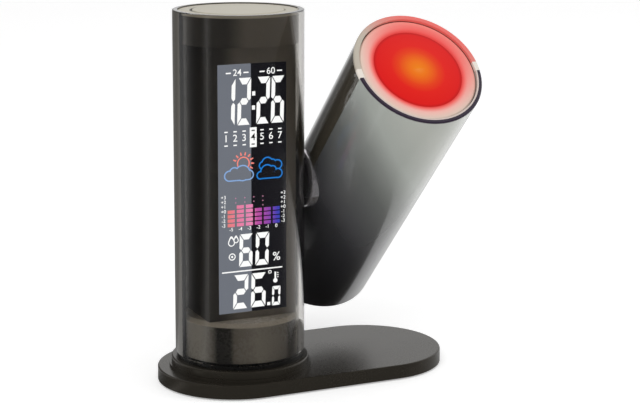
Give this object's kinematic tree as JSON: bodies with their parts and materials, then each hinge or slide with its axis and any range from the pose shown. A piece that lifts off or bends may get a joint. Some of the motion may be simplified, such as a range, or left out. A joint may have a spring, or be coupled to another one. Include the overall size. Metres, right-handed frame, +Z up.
{
  "type": "projection alarm clock",
  "caption": "Upright round clock tube with a lit display on a long flat foot, and a round projector tube beside it that tilts on a side pivot.",
  "frame": {"origin": "on the table, under the clock tube's axis, at the foot pad's underside", "axes": "+Z up along the clock tube; the display faces -Y; +X along the foot towards the projector tube"},
  "size_m": [0.14, 0.1511, 0.173],
  "materials": {
    "rubber_black": "matt",
    "base_black": "satin",
    "frame_dark": "satin",
    "steel": "zinc plated",
    "screw_black": "black oxide",
    "smoked_clear": "gloss, smoked transparent plastic",
    "rear_plastic": "gloss",
    "hub_smoked": "gloss",
    "display_black": "gloss, lit digits",
    "clear_plastic": "clear",
    "board_green": "solder mask",
    "cap_beige": "satin",
    "switch_body": "satin",
    "cell_wrap": "gloss wrap",
    "contact_plate": "nickel plated",
    "brass": "turned",
    "ring_cream": "satin",
    "window_red": "translucent, lit from inside",
    "lens_clear": "polished",
    "aluminium": "bare",
    "led_yellow": "gloss",
    "lead_red": "smooth",
    "button_rubber": "matt"
  },
  "bodies": {
    "stand": {"base_pad": "rubber_black", "base_bottom": "frame_dark", "base_weight": "steel", "base_shell": "base_black", "base_screws": "steel", "collar_ring": "base_black", "plinth_drum": "frame_dark", "plinth_screws": "steel", "clock_front_shell": "smoked_clear", "clock_rear_shell": "rear_plastic", "rear_shell_screws": "screw_black", "display_chassis": "frame_dark", "display_glass": "display_black", "light_guide": "clear_plastic", "display_holder": "frame_dark", "rubber_connector": "rubber_black", "main_board": "board_green", "board_posts": "steel", "buzzer": "frame_dark", "top_cap": "cap_beige", "top_board": "board_green", "snooze_switch": "switch_body", "button_board": "board_green", "button_brackets": "frame_dark", "button_switches": "switch_body", "battery_holder": "frame_dark", "battery_cells": "cell_wrap", "battery_contacts": "contact_plate", "dc_jack": "frame_dark", "air_sensor": "board_green", "pivot_bush": "frame_dark"},
    "projector": {"projector_hub": "hub_smoked", "pivot_shaft": "steel", "friction_washer": "steel", "pivot_nut": "brass", "hub_screws": "steel", "projector_front_shell": "smoked_clear", "projector_rear_shell": "rear_plastic", "projector_end_cap": "frame_dark", "projector_screws": "screw_black", "mouth_bearing": "frame_dark", "optics_housing": "frame_dark", "condenser_lens": "lens_clear", "image_plate": "lens_clear", "lamp_board": "aluminium", "lamp_led": "led_yellow", "heat_sink": "aluminium", "lamp_lead": "lead_red"},
    "focus": {"focus_ring": "ring_cream", "projector_window": "window_red"},
    "barrel": {"lens_barrel": "frame_dark", "projection_lens": "lens_clear"},
    "snooze": {"snooze_pad": "cap_beige"},
    "door": {"battery_door": "rear_plastic"},
    "button_1": {"setting_button_1": "button_rubber"},
    "button_2": {"setting_button_2": "button_rubber"},
    "button_3": {"setting_button_3": "button_rubber"},
    "button_4": {"setting_button_4": "button_rubber"},
    "button_5": {"setting_button_5": "button_rubber"}
  },
  "joints": [
    {"name": "projector_tilt", "type": "hinge", "parent": "stand", "child": "projector", "pos_m": [0.031, 0, 0.0923], "axis": [1, 0, 0], "range_deg": [-135, 45]},
    {"name": "focus_turn", "type": "hinge", "parent": "projector", "child": "focus", "pos_m": [0.062, 0, 0.0923], "axis": [0, -0.7071, 0.7071], "range_deg": [-60, 60]},
    {"name": "barrel_travel", "type": "slide", "parent": "projector", "child": "barrel", "axis": [0, -0.7071, 0.7071], "range_m": [-0.0015, 0.0015]},
    {"name": "snooze_press", "type": "slide", "parent": "stand", "child": "snooze", "axis": [0, 0, -1], "range_m": [0, 0.001], "stiffness_N_per_m": 400, "springref_m": -0.002},
    {"name": "battery_door_pull", "type": "slide", "parent": "stand", "child": "door", "axis": [0, 1, 0], "range_m": [0, 0.012]},
    {"name": "button_1_press", "type": "slide", "parent": "stand", "child": "button_1", "axis": [0, -1, 0], "range_m": [0, 0.0008], "stiffness_N_per_m": 500, "springref_m": -0.001},
    {"name": "button_2_press", "type": "slide", "parent": "stand", "child": "button_2", "axis": [0, -1, 0], "range_m": [0, 0.0008], "stiffness_N_per_m": 500, "springref_m": -0.001},
    {"name": "button_3_press", "type": "slide", "parent": "stand", "child": "button_3", "axis": [0, -1, 0], "range_m": [0, 0.0008], "stiffness_N_per_m": 500, "springref_m": -0.001},
    {"name": "button_4_press", "type": "slide", "parent": "stand", "child": "button_4", "axis": [0, -1, 0], "range_m": [0, 0.0008], "stiffness_N_per_m": 500, "springref_m": -0.001},
    {"name": "button_5_press", "type": "slide", "parent": "stand", "child": "button_5", "axis": [0, -1, 0], "range_m": [0, 0.0008], "stiffness_N_per_m": 500, "springref_m": -0.001}
  ],
  "couplings": [
    {"joint": "focus_turn", "follows": "barrel_travel", "rad_per_m": 698}
  ]
}
